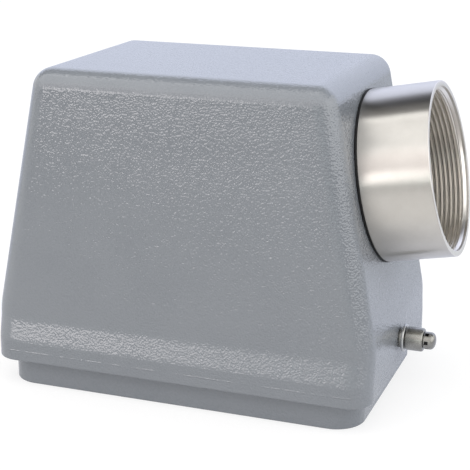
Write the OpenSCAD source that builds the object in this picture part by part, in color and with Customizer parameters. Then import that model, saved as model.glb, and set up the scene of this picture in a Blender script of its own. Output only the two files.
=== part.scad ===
// Hood of a heavy duty rectangular connector, with a side cable entry and two 24 pole screw inserts.
// The origin is the centre of the hood's lower rim, +X points to the cable entry and +Z points up.

/* [Hood] */
// Height of the hood from its lower rim to its top
hood_h = 102.1; // [96:0.1:118]
// Length of the top, measured where the end walls would meet it without the fillet
top_l = 94.9; // [90:0.1:100]
// Thickness of the end walls and of the top
wall = 3.9; // [3:0.1:4.8]
// Plan radius of the vertical corners
corner_r = 7.6; // [6:0.1:9]
// Radius of the rounded edge round the top
top_fillet = 6.7; // [5.5:0.1:7.5]
// Height up to which the end walls stay upright
knee_z = 25.3; // [24.5:0.1:30]
// Radius of the soft bend where the end walls start to lean
knee_r = 28; // [15:1:32]
// Inward lean of the long walls over one millimetre of height
side_draft = 0.038; // [0.02:0.001:0.05]
// Inward lean of the inner long walls over one millimetre of height
core_draft = 0.026; // [0.015:0.001:0.035]

/* [Skirt and flange] */
// Height of the skirt that enters the housing below
skirt_h = 8.4; // [6:0.1:9.5]
// Thickness of the skirt
skirt_t = 2.55; // [2.2:0.05:3.5]
// Step from the flange's end down to the skirt
skirt_end_step = 3.6; // [3:0.1:5]
// Step from the flange's long side down to the skirt
skirt_side_step = 3; // [2.5:0.1:4]
// Height of the upright band above the skirt
flange_h = 6.6; // [5:0.1:8.5]
// Height of the flare between the band and the long walls
flare_h = 8.5; // [7:0.1:9.5]
// Depth of the flare
flare_d = 1.2; // [0.8:0.1:1.8]
// Share of the flare's height at which its slope changes
flare_mid_h = 0.4; // [0.3:0.05:0.5]
// Share of the flare's depth that lies below that height
flare_mid_d = 0.6; // [0.55:0.05:0.7]
// Extra plan radius of the skirt's corners over the flange's
skirt_r_more = 1.9; // [0:0.1:3]

/* [Cable entry] */
// Outer diameter of the entry sleeve
sleeve_d = 53.4; // [51:0.2:57]
// Length of the sleeve from the hood's wall to its rim
sleeve_l = 21.9; // [20:0.1:26]
// Gap between the sleeve's upper edge and the level of the hood's top
entry_drop = 5.7; // [5:0.1:8]
// Thickness of the sleeve's wall round the thread's nominal diameter
sleeve_wall = 1.7; // [1.2:0.1:2.4]
// Pitch of the internal thread
thread_pitch = 1.5; // [1:0.25:2]
// Length of the internal thread
thread_l = 16; // [12:0.5:18]
// Depth of the plain mouth in front of the thread
mouth_depth = 0.8; // [0.5:0.1:1.5]
// Step from the sleeve's outside down to the neck that passes through the wall
neck_step = 1.4; // [1.1:0.1:1.8]
// Step from the threaded bore down to the plain bore behind it
bore_step = 0.8; // [0.5:0.1:1.2]
// Height of the lip that is rolled over behind the wall
lip_h = 0.9; // [0.6:0.1:1.4]
// Thickness of the seal ring
seal_t = 0.7; // [0.5:0.1:1.1]

/* [Locking pegs] */
// Height of the pegs above the lower rim
peg_z = 17.7; // [16:0.1:19]
// Diameter of the part of the pin that sits in the wall
peg_shank_d = 4.7; // [4.3:0.1:5.6]
// Depth of the pin's seat in the wall
peg_seat = 5.2; // [4.5:0.1:5.8]
// Diameter of the pin's collar
peg_collar_d = 6.4; // [5.8:0.1:7]
// Length of the pin's collar
peg_collar_l = 1; // [0.8:0.1:1.5]
// Diameter of the pin where the roller turns
peg_journal_d = 4; // [3.8:0.1:4.2]
// Diameter of the washer behind the roller
peg_washer_d = 8.9; // [8.5:0.1:10]
// Thickness of the washer
peg_washer_t = 0.9; // [0.8:0.1:1.3]
// Diameter of the roller
roller_d = 7.5; // [6.8:0.1:8]
// Length of the roller
roller_l = 5.5; // [5:0.1:6.5]
// Free play of the roller at each end
roller_play = 0.3; // [0.2:0.05:0.5]
// Radial running clearance of the roller
roller_fit = 0.04; // [0.02:0.01:0.08]
// Diameter of the retaining cap
cap_d = 5.5; // [5.2:0.1:6]
// Length of the retaining cap
cap_l = 3.4; // [3:0.1:4.2]
// Number of the cap's claws
cap_claws = 6; // [4:1:8]
// Width of the slot between two claws
cap_slot_w = 0.8; // [0.6:0.1:1.1]
// Length of the slot between two claws
cap_slot_l = 1.1; // [0.8:0.1:1.5]
// Depth of the slot between two claws
cap_slot_depth = 0.45; // [0.3:0.05:0.6]

/* [Contact inserts] */
// Length of one insert
insert_l = 111; // [109:0.5:114]
// Width of one insert
insert_w = 34; // [33:0.5:35]
// Gap between the two inserts
insert_gap = 1; // [0.6:0.1:1.6]
// Gap between an insert's end and the hood
insert_end_gap = 0.4; // [0.3:0.05:1]
// Gap between an insert's side and the hood
insert_side_gap = 0.4; // [0.3:0.05:1]
// Extra corner radius of the hood's mouth over the insert's corner
mouth_r_more = 0.8; // [0.3:0.1:0.9]
// Distance of the fixing screws from the insert's edges
fix_edge = 3.5; // [3.4:0.1:4]
// Height of the insert's lower rim above the hood's lower rim
rim_z = 7; // [5:0.1:8]
// Height of the collar round the contact pins
collar_h = 11; // [10.6:0.1:13]
// Distance of the collar from the insert's ends
insert_end = 12; // [11.5:0.1:13]
// Distance by which the collar reaches past the terminal block at each end
collar_over = 3; // [2.5:0.1:3.2]
// Step from the plastic flange's long edge to the collar and the terminal block
side_step = 1.5; // [1:0.1:2]
// Thickness of the collar's wall
collar_t = 1.8; // [1.2:0.1:2.2]
// Thickness of the insert's plastic flange
insert_flange_t = 4; // [3:0.1:5]
// Height of the terminal block above the plastic flange
block_h = 20; // [18:0.5:22]
// Thickness of the terminal block's end walls beyond the last contact's share
block_end = 1.5; // [1:0.1:2]
// Thickness of the block's floor above the plastic flange
floor_t = 2; // [1.5:0.1:3]
// Depth by which the pin cavity reaches into the plastic flange
cavity_extra = 0.5; // [0:0.1:1]
// Corner radius of the insert's plastic flange
insert_r = 3.5; // [2.5:0.1:3.6]
// Radial clearance round the fixing screws in the insert
fix_hole_fit = 0.25; // [0.15:0.05:0.4]

/* [Contacts] */
// Number of contacts in one row
columns = 12; // [10:1:12]
// Distance between the two rows of contact pins
row_gap = 11; // [10.5:0.1:12]
// Diameter of a contact pin
pin_d = 2.5; // [2:0.1:3]
// Free length of a contact pin
pin_l = 9.5; // [8:0.1:10]
// Chamfer at the tip of a contact pin
pin_chamfer = 0.6; // [0.3:0.1:0.8]
// Diameter of a contact pin's root in the plastic
pin_root_d = 3.2; // [3.1:0.1:3.6]
// Diameter of the spigot that rivets a contact pin to its terminal
spigot_d = 1.8; // [1.4:0.1:2]
// Length of the spigot
spigot_l = 2.4; // [2:0.1:2.6]
// Depth of the spigot's hole beyond its end
spigot_play = 0.2; // [0.1:0.05:0.3]
// Width of a contact's terminal along the row
terminal_l = 4.9; // [4.5:0.1:5]
// Width of a contact's terminal across the row
terminal_w = 8.8; // [8:0.1:9]
// Height of a contact's terminal
terminal_h = 12.5; // [11:0.1:14]
// Offset of the terminal from its pin, away from the other row
terminal_shift = 2.2; // [2:0.1:2.4]
// Clearance of a terminal in its chamber
chamber_fit = 0.2; // [0.1:0.05:0.3]
// Diameter of the hole for the wire
wire_d = 3.4; // [2.6:0.1:3.6]
// Depth of the hole for the wire
wire_depth = 9; // [8:0.1:10]

/* [Screws] */
// Diameter of the insert's fixing screws
fix_d = 4; // [3.5:0.1:4.2]
// Head diameter of the insert's fixing screws
fix_head_d = 7; // [6:0.1:7]
// Head height of the insert's fixing screws
fix_head_h = 2.6; // [2:0.1:3]
// Depth of the fixing screws in the hood's bosses
fix_depth = 10; // [8:0.5:11]
// Width of the hood's fixing bosses
boss_w = 9; // [8:0.1:9]
// Height of the hood's fixing bosses
boss_h = 15; // [13:0.5:16]
// Diameter of a terminal screw
clamp_d = 3; // [2.6:0.1:3.2]
// Head diameter of a terminal screw
clamp_head_d = 4.4; // [4:0.1:4.6]
// Head height of a terminal screw
clamp_head_h = 1.8; // [1.5:0.1:2]
// Radial clearance of a screw in its threaded hole
screw_fit = 0.03; // [0.02:0.01:0.05]
// Width of the slot in a screw head
slot_w = 0.8; // [0.6:0.1:1]
// Depth of the slot in a screw head, as a share of the head's height
slot_share = 0.4; // [0.3:0.05:0.5]

/* [Earth terminals] */
// Thickness of an earth plate
plate_t = 2; // [1.5:0.1:2.5]
// Distance by which an earth plate reaches inwards past its blade
plate_reach = 3.7; // [3:0.1:4]
// Thickness of the earth blade
blade_t = 1.2; // [1:0.1:1.5]
// Width of the earth blade
blade_w = 6; // [5:0.1:6]
// Distance of the earth blade's middle from the collar
blade_gap = 2.7; // [2.4:0.1:3]
// Distance of the earth blade's tip below the plastic flange
blade_l = 11; // [9:0.1:12]
// Diameter of the earth terminal's threaded boss
earth_boss_d = 8; // [7:0.1:8.4]
// Height of the earth terminal's threaded boss
earth_boss_h = 5; // [4:0.1:6]
// Diameter of the earth screw
earth_d = 4; // [3.5:0.1:4.5]
// Head diameter of the earth screw
earth_head_d = 7.4; // [7:0.1:8]
// Head height of the earth screw
earth_head_h = 2.8; // [2:0.1:3]

/* [Hidden] */

paint = "slategray";
nickel = "silver";
steel = "gainsboro";
zinc = "lightsteelblue";
black_rubber = "dimgray";
grey_plastic = "darkgray";
brass = "khaki";

$fn = 64;
hull_fn = 32;
slab = 0.02;
over = 1;

mouth_l = insert_l + 2 * insert_end_gap;
mouth_w = 2 * insert_w + insert_gap + 2 * insert_side_gap;
skirt_l = mouth_l + 2 * skirt_t;
skirt_w = mouth_w + 2 * skirt_t;
hood_l = skirt_l + 2 * skirt_end_step;
hood_w = skirt_w + 2 * skirt_side_step;
skirt_r = corner_r + skirt_r_more;
mouth_r = insert_r + mouth_r_more;

flange_top = skirt_h + flange_h;
flare_top = flange_top + flare_h;
end_lean = (hood_l - top_l) / 2 / (hood_h - knee_z);
tilt = atan(end_lean);
side_angle = atan(side_draft);
core_angle = atan(core_draft);

// Distance of an outer or inner wall from the middle plane at height z
function out_x(z) = hood_l / 2 - end_lean * max(0, z - knee_z);
function out_y(z) = hood_w / 2 - flare_d - side_draft * (z - flare_top);
function core_x(z) = min(mouth_l / 2, out_x(z) - wall);
function core_y(z) = mouth_w / 2 - core_draft * max(0, z - seat_z);

core_top = hood_h - wall;
core_r = top_fillet - wall + 0.4;
core_knee_z = knee_z + (hood_l / 2 - wall - mouth_l / 2) / end_lean;

entry_z = hood_h - entry_drop - sleeve_d / 2;
wall_depth = wall * cos(tilt);
neck_d = sleeve_d - 2 * neck_step;
thread_d = sleeve_d - 2 * sleeve_wall;
thread_bore_d = thread_d - 1.0825 * thread_pitch;
plain_bore_d = thread_bore_d - 2 * bore_step;
neck_fit = 0.02;

insert_y = (insert_w + insert_gap) / 2;
insert_flange_z = rim_z + collar_h;
plate_z = insert_flange_z + insert_flange_t;
seat_z = plate_z + plate_t;
fix_l = insert_l - 2 * fix_edge;
fix_w = insert_w - 2 * fix_edge;
collar_l = insert_l - 2 * insert_end;
collar_w = insert_w - 2 * side_step;
block_l = collar_l - 2 * collar_over;
block_w = insert_w - 2 * side_step;
pitch = (block_l - 2 * block_end) / columns;
blade_x = collar_l / 2 + blade_gap;
plate_l = insert_l / 2 - blade_x + plate_reach;
chamber_floor = plate_z + floor_t;
cavity_roof = insert_flange_z + cavity_extra;
terminal_y = row_gap / 2 + terminal_shift;
terminal_out = terminal_y + terminal_w / 2;
clamp_z = chamber_floor + terminal_h - wire_depth / 2;
earth_x = insert_l / 2 - plate_l / 2;
blade_fit = 0.1;

peg_stack = peg_collar_l + peg_washer_t;
roller_w = peg_stack + roller_play;
cap_w = roller_w + roller_l + roller_play;
cap_bore_l = 0.6 * cap_l;

// Rectangle with round corners, centred on the origin
module round_rect(l, w, r) {
    dx = l / 2 - r;
    dy = w / 2 - r;
    square([l, 2 * dy], center = true);
    square([2 * dx, w], center = true);
    for (sx = [-1, 1], sy = [-1, 1])
        translate([sx * dx, sy * dy])
            circle(r);
}

// Thin plan slice with its lower face at height z
module slice(z, l, w, r) {
    translate([0, 0, z])
        linear_extrude(slab)
            round_rect(l, w, r, $fn = hull_fn);
}

// Four balls that round the upper edge between the given planes
module top_balls(z, x, y, r, lean_x, lean_y) {
    for (sx = [-1, 1], sy = [-1, 1])
        translate([sx * (x - r / cos(lean_x)), sy * (y - r / cos(lean_y)), z])
            sphere(r, $fn = hull_fn);
}

// Stands its children on the leaning end wall, with Z along the axis of the cable entry
module at_entry() {
    translate([out_x(entry_z), 0, entry_z])
        rotate([0, 90 - tilt, 0])
            children();
}

// Places its children on an end wall, with Z pointing out of it; side is -1 for left and 1 for right
module at_peg(side) {
    translate([side * hood_l / 2, 0, peg_z])
        rotate([0, side * 90, 0])
            children();
}

// Repeats its children at the four fixing points of an insert whose centre is the origin
module at_fixings() {
    for (sx = [-1, 1], sy = [-1, 1])
        translate([sx * fix_l / 2, sy * fix_w / 2, 0])
            children();
}

// Places its children at an insert; row is -1 for the front one and 1 for the rear one
module at_insert(row) {
    translate([0, row * insert_y, 0])
        children();
}

// Repeats its children at every contact, turned so that Y points away from the other row
module at_contacts() {
    for (i = [0 : columns - 1], s = [-1, 1])
        translate([(i - (columns - 1) / 2) * pitch, 0, 0])
            scale([1, s, 1])
                children();
}

module upper_body() {
    drop = knee_r * tan(tilt / 2);
    hull() {
        slice(flare_top, hood_l, 2 * out_y(flare_top), corner_r);
        for (step = [0 : 4]) {
            a = tilt * step / 4;
            z = knee_z - drop + knee_r * sin(a);
            slice(z, hood_l - 2 * knee_r * (1 - cos(a)), 2 * out_y(z), corner_r);
        }
        top_z = hood_h - top_fillet;
        top_balls(top_z, out_x(top_z), out_y(top_z), top_fillet, tilt, side_angle);
    }
}

module flare(z0, w0, z1, w1) {
    hull() {
        slice(z0, hood_l, w0, corner_r);
        slice(z1, hood_l, w1, corner_r);
    }
}

module core() {
    ball_z = core_top - core_r;
    hull() {
        slice(-over, mouth_l, mouth_w, mouth_r);
        slice(seat_z, mouth_l, mouth_w, mouth_r);
        slice(core_knee_z, mouth_l, 2 * core_y(core_knee_z), mouth_r);
        top_balls(ball_z, core_x(ball_z), core_y(ball_z), core_r, tilt, core_angle);
    }
}

// Bosses on the inner end walls that take the fixing screws of both inserts
module fixing_bosses() {
    reach = mouth_l / 2 - fix_l / 2 + over;
    for (row = [-1, 1])
        at_insert(row)
            for (sx = [-1, 1], sy = [-1, 1])
                translate([sx * fix_l / 2, sy * fix_w / 2, seat_z]) {
                    cylinder(h = boss_h, d = boss_w);
                    translate([sx * reach / 2, 0, boss_h / 2])
                        cube([reach, boss_w, boss_h], center = true);
                }
}

module hood_shell() {
    mid_z = flange_top + flare_mid_h * flare_h;
    mid_w = hood_w - 2 * flare_mid_d * flare_d;
    color(paint)
        difference() {
            union() {
                difference() {
                    union() {
                        linear_extrude(skirt_h + slab)
                            round_rect(skirt_l, skirt_w, skirt_r);
                        translate([0, 0, skirt_h])
                            linear_extrude(flange_h)
                                round_rect(hood_l, hood_w, corner_r);
                        flare(flange_top - slab, hood_w, mid_z, mid_w);
                        flare(mid_z, mid_w, flare_top, 2 * out_y(flare_top));
                        upper_body();
                    }
                    core();
                }
                fixing_bosses();
            }
            for (row = [-1, 1])
                at_insert(row)
                    at_fixings()
                        translate([0, 0, seat_z - over])
                            cylinder(h = fix_depth + 2 * over, d = fix_d + 2 * screw_fit);
            for (side = [-1, 1])
                at_peg(side)
                    translate([0, 0, -peg_seat])
                        cylinder(h = peg_seat + over, d = peg_shank_d + 2 * screw_fit);
            at_entry()
                translate([0, 0, -3 * wall])
                    cylinder(h = 4 * wall, d = neck_d + 2 * neck_fit, $fn = 128);
        }
}

module cable_entry_sleeve() {
    r_out = sleeve_d / 2;
    r_neck = neck_d / 2;
    r_thread = thread_bore_d / 2;
    r_plain = plain_bore_d / 2;
    chamfer = (thread_d - thread_bore_d) / 2;
    start = sleeve_l - mouth_depth - chamfer;
    back = -wall_depth - lip_h;
    edge = 0.3;
    color(nickel)
        at_entry()
            rotate_extrude($fn = 128)
                polygon([
                    [r_plain, back],
                    [r_neck + lip_h - edge, back],
                    [r_neck + lip_h, back + edge],
                    [r_neck + lip_h, -wall_depth],
                    [r_neck, -wall_depth],
                    [r_neck, seal_t],
                    [r_out, seal_t],
                    [r_out, sleeve_l - edge],
                    [r_out - edge, sleeve_l],
                    [r_thread + chamfer, sleeve_l],
                    [r_thread + chamfer, sleeve_l - mouth_depth],
                    [r_thread, start],
                    [r_thread, start - thread_l],
                    [r_plain, start - thread_l - bore_step]
                ]);
}

module sleeve_seal_ring() {
    color(black_rubber)
        at_entry()
            difference() {
                cylinder(h = seal_t, d = sleeve_d + 0.3, $fn = 128);
                translate([0, 0, -over])
                    cylinder(h = seal_t + 2 * over, d = neck_d + 2 * neck_fit, $fn = 128);
            }
}

module peg_pin(side) {
    r_shank = peg_shank_d / 2;
    r_collar = peg_collar_d / 2;
    r_journal = peg_journal_d / 2;
    end = cap_w + cap_bore_l;
    edge = 0.3;
    color(steel)
        at_peg(side)
            rotate_extrude()
                polygon([
                    [0, -peg_seat],
                    [r_shank - edge, -peg_seat],
                    [r_shank, -peg_seat + edge],
                    [r_shank, 0],
                    [r_collar, 0],
                    [r_collar, peg_collar_l],
                    [r_journal, peg_collar_l],
                    [r_journal, end - edge],
                    [r_journal - edge, end],
                    [0, end]
                ]);
}

module peg_washer(side) {
    r_in = peg_journal_d / 2 + roller_fit;
    r_out = peg_washer_d / 2;
    edge = peg_washer_t * 0.2;
    color(zinc)
        at_peg(side)
            translate([0, 0, peg_collar_l])
                rotate_extrude()
                    polygon([
                        [r_in, 0],
                        [r_out - edge, 0],
                        [r_out, edge],
                        [r_out, peg_washer_t - edge],
                        [r_out - edge, peg_washer_t],
                        [r_in, peg_washer_t]
                    ]);
}

module peg_roller(side) {
    r_in = peg_journal_d / 2 + roller_fit;
    r_out = roller_d / 2;
    edge = 0.4;
    color(steel)
        at_peg(side)
            translate([0, 0, roller_w])
                rotate_extrude()
                    polygon([
                        [r_in, 0],
                        [r_out - edge, 0],
                        [r_out, edge],
                        [r_out, roller_l - edge],
                        [r_out - edge, roller_l],
                        [r_in, roller_l]
                    ]);
}

// Cap with claws that is pushed over the end of the pin and keeps the roller on
module peg_cap(side) {
    r_in = peg_journal_d / 2 + screw_fit;
    r_out = cap_d / 2;
    dome = cap_l * 0.3;
    color(steel)
        at_peg(side)
            translate([0, 0, cap_w])
                difference() {
                    rotate_extrude()
                        polygon([
                            [r_in, 0],
                            [r_out, 0],
                            [r_out, cap_l - dome],
                            [r_out - 0.12 * dome, cap_l - 0.55 * dome],
                            [r_out - 0.45 * dome, cap_l - 0.15 * dome],
                            [r_out - dome, cap_l],
                            [0, cap_l],
                            [0, cap_bore_l],
                            [r_in, cap_bore_l]
                        ]);
                    for (i = [0 : cap_claws - 1])
                        rotate([0, 0, (i + 0.5) * 360 / cap_claws])
                            translate([r_out - cap_slot_depth, -cap_slot_w / 2, -over])
                                cube([cap_slot_depth + over, cap_slot_w, cap_slot_l + over]);
                }
}

module insert_body(row) {
    hole_d = fix_d + 2 * fix_hole_fit;
    chamber_l = terminal_l + 2 * chamber_fit;
    chamber_w = terminal_w + 2 * chamber_fit;
    blade_slot = [blade_t + 2 * blade_fit, blade_w + 2 * blade_fit, insert_flange_t + 2 * over];
    color(grey_plastic)
        at_insert(row)
            difference() {
                union() {
                    translate([0, 0, insert_flange_z])
                        linear_extrude(insert_flange_t)
                            round_rect(insert_l, insert_w, insert_r);
                    translate([0, 0, rim_z])
                        linear_extrude(collar_h + over)
                            round_rect(collar_l, collar_w, insert_r);
                    translate([0, 0, insert_flange_z + over])
                        linear_extrude(block_h + insert_flange_t - over)
                            round_rect(block_l, block_w, 1);
                }
                translate([0, 0, rim_z - over])
                    linear_extrude(cavity_roof - rim_z + over)
                        round_rect(collar_l - 2 * collar_t, collar_w - 2 * collar_t, 1);
                at_fixings()
                    translate([0, 0, insert_flange_z - over])
                        cylinder(h = insert_flange_t + 2 * over, d = hole_d);
                for (sx = [-1, 1])
                    translate([sx * blade_x, 0, insert_flange_z + insert_flange_t / 2])
                        cube(blade_slot, center = true);
                at_contacts() {
                    translate([0, row_gap / 2, rim_z])
                        cylinder(h = chamber_floor - rim_z + over, d = pin_root_d + 2 * screw_fit);
                    translate([-chamber_l / 2, terminal_y - chamber_w / 2, chamber_floor])
                        cube([chamber_l, chamber_w, block_h]);
                    translate([0, terminal_y, clamp_z])
                        rotate([-90, 0, 0])
                            cylinder(h = block_w, d = clamp_head_d + 4 * chamber_fit);
                }
            }
}

// Turned contact pins, thicker at the root, each with a spigot that is riveted into its terminal
module contact_pins(row) {
    r = pin_d / 2;
    r_root = pin_root_d / 2;
    r_spigot = spigot_d / 2;
    tip = cavity_roof - pin_l;
    shoulder = cavity_roof - (r_root - r);
    color(brass)
        at_insert(row)
            at_contacts()
                translate([0, row_gap / 2, 0])
                    rotate_extrude()
                        polygon([
                            [0, tip],
                            [r - pin_chamfer, tip],
                            [r, tip + pin_chamfer],
                            [r, shoulder - (r_root - r)],
                            [r_root, shoulder],
                            [r_root, chamber_floor],
                            [r_spigot, chamber_floor],
                            [r_spigot, chamber_floor + spigot_l],
                            [0, chamber_floor + spigot_l]
                        ]);
}

// Box terminals, each with a hole for the wire, one for the clamp screw and one for the pin's spigot
module contact_terminals(row) {
    color(brass)
        at_insert(row)
            at_contacts()
                difference() {
                    translate([-terminal_l / 2, terminal_y - terminal_w / 2, chamber_floor])
                        cube([terminal_l, terminal_w, terminal_h]);
                    translate([0, terminal_y, chamber_floor + terminal_h - wire_depth])
                        cylinder(h = wire_depth + over, d = wire_d);
                    translate([0, terminal_y, clamp_z])
                        rotate([-90, 0, 0])
                            cylinder(h = terminal_w, d = clamp_d + 2 * screw_fit);
                    translate([0, row_gap / 2, chamber_floor - over])
                        cylinder(h = spigot_l + spigot_play + over, d = spigot_d + 2 * screw_fit);
                }
}

// Cheese head screw with its head's underside at the origin, its head up and its shank down
module slotted_screw(d, head_d, head_h, length) {
    difference() {
        union() {
            cylinder(h = head_h, d = head_d);
            translate([0, 0, -length])
                cylinder(h = length + head_h / 2, d = d);
        }
        translate([0, 0, head_h])
            cube([head_d + over, slot_w, 2 * slot_share * head_h], center = true);
    }
}

module terminal_screws(row) {
    length = terminal_w / 2 - wire_d / 4;
    color(steel)
        at_insert(row)
            at_contacts()
                translate([0, terminal_out, clamp_z])
                    rotate([-90, 0, 0])
                        slotted_screw(clamp_d, clamp_head_d, clamp_head_h, length);
}

// Stamped plate at the end of an insert, with the blade that earths the mating half and a threaded boss
module earth_plate(row, side) {
    hole_d = fix_d + 2 * fix_hole_fit;
    color(zinc)
        at_insert(row)
            difference() {
                union() {
                    translate([side * earth_x, 0, plate_z])
                        linear_extrude(plate_t)
                            round_rect(plate_l, insert_w, insert_r);
                    translate([side * earth_x, 0, plate_z])
                        cylinder(h = plate_t + earth_boss_h, d = earth_boss_d);
                    translate([side * blade_x - blade_t / 2, -blade_w / 2, insert_flange_z - blade_l])
                        cube([blade_t, blade_w, blade_l + insert_flange_t + over]);
                }
                translate([side * earth_x, 0, plate_z - over])
                    cylinder(h = plate_t + earth_boss_h + 2 * over, d = earth_d + 2 * screw_fit);
                at_fixings()
                    translate([0, 0, plate_z - over])
                        cylinder(h = plate_t + 2 * over, d = hole_d);
            }
}

module earth_screws() {
    color(zinc)
        for (row = [-1, 1], side = [-1, 1])
            at_insert(row)
                translate([side * earth_x, 0, seat_z + earth_boss_h])
                    slotted_screw(earth_d, earth_head_d, earth_head_h, earth_boss_h + plate_t / 2);
}

module insert_fixing_screws() {
    length = insert_flange_t + plate_t + fix_depth;
    color(steel)
        for (row = [-1, 1])
            at_insert(row)
                at_fixings()
                    translate([0, 0, insert_flange_z])
                        mirror([0, 0, 1])
                            slotted_screw(fix_d, fix_head_d, fix_head_h, length);
}

hood_shell();
cable_entry_sleeve();
sleeve_seal_ring();
peg_pin(-1);  // peg_pin_left
peg_pin(1);  // peg_pin_right
peg_washer(-1);  // peg_washer_left
peg_washer(1);  // peg_washer_right
peg_roller(-1);  // peg_roller_left
peg_roller(1);  // peg_roller_right
peg_cap(-1);  // peg_cap_left
peg_cap(1);  // peg_cap_right
insert_body(-1);  // insert_body_front
insert_body(1);  // insert_body_rear
contact_pins(-1);  // contact_pins_front
contact_pins(1);  // contact_pins_rear
contact_terminals(-1);  // contact_terminals_front
contact_terminals(1);  // contact_terminals_rear
terminal_screws(-1);  // terminal_screws_front
terminal_screws(1);  // terminal_screws_rear
earth_plate(-1, -1);  // earth_plate_front_left
earth_plate(-1, 1);  // earth_plate_front_right
earth_plate(1, -1);  // earth_plate_rear_left
earth_plate(1, 1);  // earth_plate_rear_right
earth_screws();
insert_fixing_screws();
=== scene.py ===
"""Looks of the hood half of a heavy duty rectangular connector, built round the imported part."""

import math

import bmesh
import bpy
from mathutils import Matrix, Vector


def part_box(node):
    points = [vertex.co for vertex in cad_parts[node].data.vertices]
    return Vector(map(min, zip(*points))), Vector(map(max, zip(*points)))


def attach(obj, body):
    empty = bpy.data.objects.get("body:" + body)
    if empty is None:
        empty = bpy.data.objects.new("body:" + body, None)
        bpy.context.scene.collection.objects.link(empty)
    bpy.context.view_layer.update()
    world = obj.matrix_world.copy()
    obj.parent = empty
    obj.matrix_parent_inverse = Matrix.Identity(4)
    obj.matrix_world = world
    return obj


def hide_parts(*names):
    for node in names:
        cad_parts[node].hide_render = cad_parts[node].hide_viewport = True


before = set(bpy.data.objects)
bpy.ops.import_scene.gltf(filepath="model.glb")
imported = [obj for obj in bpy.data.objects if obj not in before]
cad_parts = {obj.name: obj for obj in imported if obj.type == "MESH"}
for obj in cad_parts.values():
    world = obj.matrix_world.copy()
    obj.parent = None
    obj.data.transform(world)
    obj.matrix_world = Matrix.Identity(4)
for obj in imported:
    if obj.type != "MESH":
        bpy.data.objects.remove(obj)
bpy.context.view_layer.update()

MM = 0.001
scene = bpy.context.scene

# Sizes of the hood, in millimetres
hood_low, hood_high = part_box("hood_shell")
HOOD_L = (hood_high.x - hood_low.x) / MM
HOOD_W = (hood_high.y - hood_low.y) / MM
HOOD_H = 102.1
TOP_L = 94.9
WALL = 3.9
CORNER_R = 7.6
TOP_FILLET = 6.7
EDGE_R = 0.55
KNEE_Z = 25.3
KNEE_R = 28.0
SIDE_DRAFT = 0.033
SKIRT_H = 8.4
SKIRT_T = 2.55
SKIRT_END_STEP = 3.6
SKIRT_SIDE_STEP = 3.0
SKIRT_R = CORNER_R + 1.9
SKIRT_ROOT_R = 0.6 * EDGE_R
FLANGE_H = 6.6
FLARE_H = 8.5
FLARE_D = 1.55
FLARE_KNEE = 0.72
CREASE_H = 0.25
CREASE_D = 0.05
PARTING_Z = 11.9
PARTING_W = 0.3

# Sizes of the hood's hollow and of what it holds, in millimetres
MOUTH_R = 4.3
MOUTH_EDGE = 0.5
CORE_DRAFT = 0.026
CORE_R = TOP_FILLET - WALL + 0.4
FIX_L = 104.0
FIX_W = 27.0
FIX_R = 2.03
FIX_DEPTH = 10.0
INSERT_Y = 17.5
SEAT_Z = 24.0
BOSS_W = 9.0
BOSS_H = 15.0
BOSS_RUN = 2.0

# Sizes of the cable entry, in millimetres
SLEEVE_R = 26.7
SLEEVE_L = 21.9
ENTRY_DROP = 5.7
NECK_R = 25.3
NECK_FIT = 0.02
SEAL_T = 0.7
SEAL_PROUD = 0.15
MAJOR_R = 25.0
THREAD_PITCH = 1.5
THREAD_L = 16.0
MOUTH_DEPTH = 0.8
BORE_STEP = 0.8
LIP_H = 0.9

# The thread's depth, its lead-in and its run-out, in pitches
ISO_DEPTH = 0.54125
LEAD_IN = 0.5
RUN_OUT = 1.5

# Sizes of the locking pegs, in millimetres
PEG_Z = 17.7
SHANK_R = 2.35
PEG_SEAT = 5.2
JOURNAL_R = 2.0
COLLAR_R = 3.2
COLLAR_L = 1.0
WASHER_R = 4.45
WASHER_T = 0.9
ROLLER_R = 3.75
ROLLER_L = 5.5
ROLLER_FIT = 0.04
PLAY = 0.3
CAP_R = 2.75
CAP_L = 3.4
CAP_FIT = 0.03
CAP_BORE = 0.6 * CAP_L
CAP_DOME = 1.6
CAP_DOME_POWER = 0.8
CAP_BEVEL = 0.08
CAP_CLAWS = 6
SLOT_W = 1.1
SLOT_L = 1.3
SLOT_DEPTH = 0.62

# How far cutters pass the faces they cut, in millimetres
OVERCUT = 1.0
NECK_CUT = 3 * WALL

# Nearness of faces and rings, in millimetres
RING_GAP = 0.2
LEAST_PLAN_R = 0.02
NEAR_BORE = 0.02
NEAR_FACE = 0.1

# Angles in degrees over which an edge is a crease
CREASE = 35
HOOD_CREASE = 32
SLEEVE_CREASE = 50
CAP_CREASE = 40

# Steps of the round forms
EDGE_STEPS = 4
ROOT_STEPS = 2
CORNER_STEPS = 14
FLARE_STEPS = 14
KNEE_STEPS = 8
TOP_STEPS = 14
CORE_TOP_STEPS = 6
BOSS_STEPS = 18
HOLE_STEPS = 32
NECK_STEPS = 128
SLEEVE_STEPS = 180
SEAL_STEPS = 160
PIN_STEPS = 64
PEG_STEPS = 72
DOME_STEPS = 12
SLEEVE_EDGE_STEPS = 4
SEAL_EDGE_STEPS = 4
PIN_EDGE_STEPS = 3
PEG_EDGE_STEPS = 5

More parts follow.
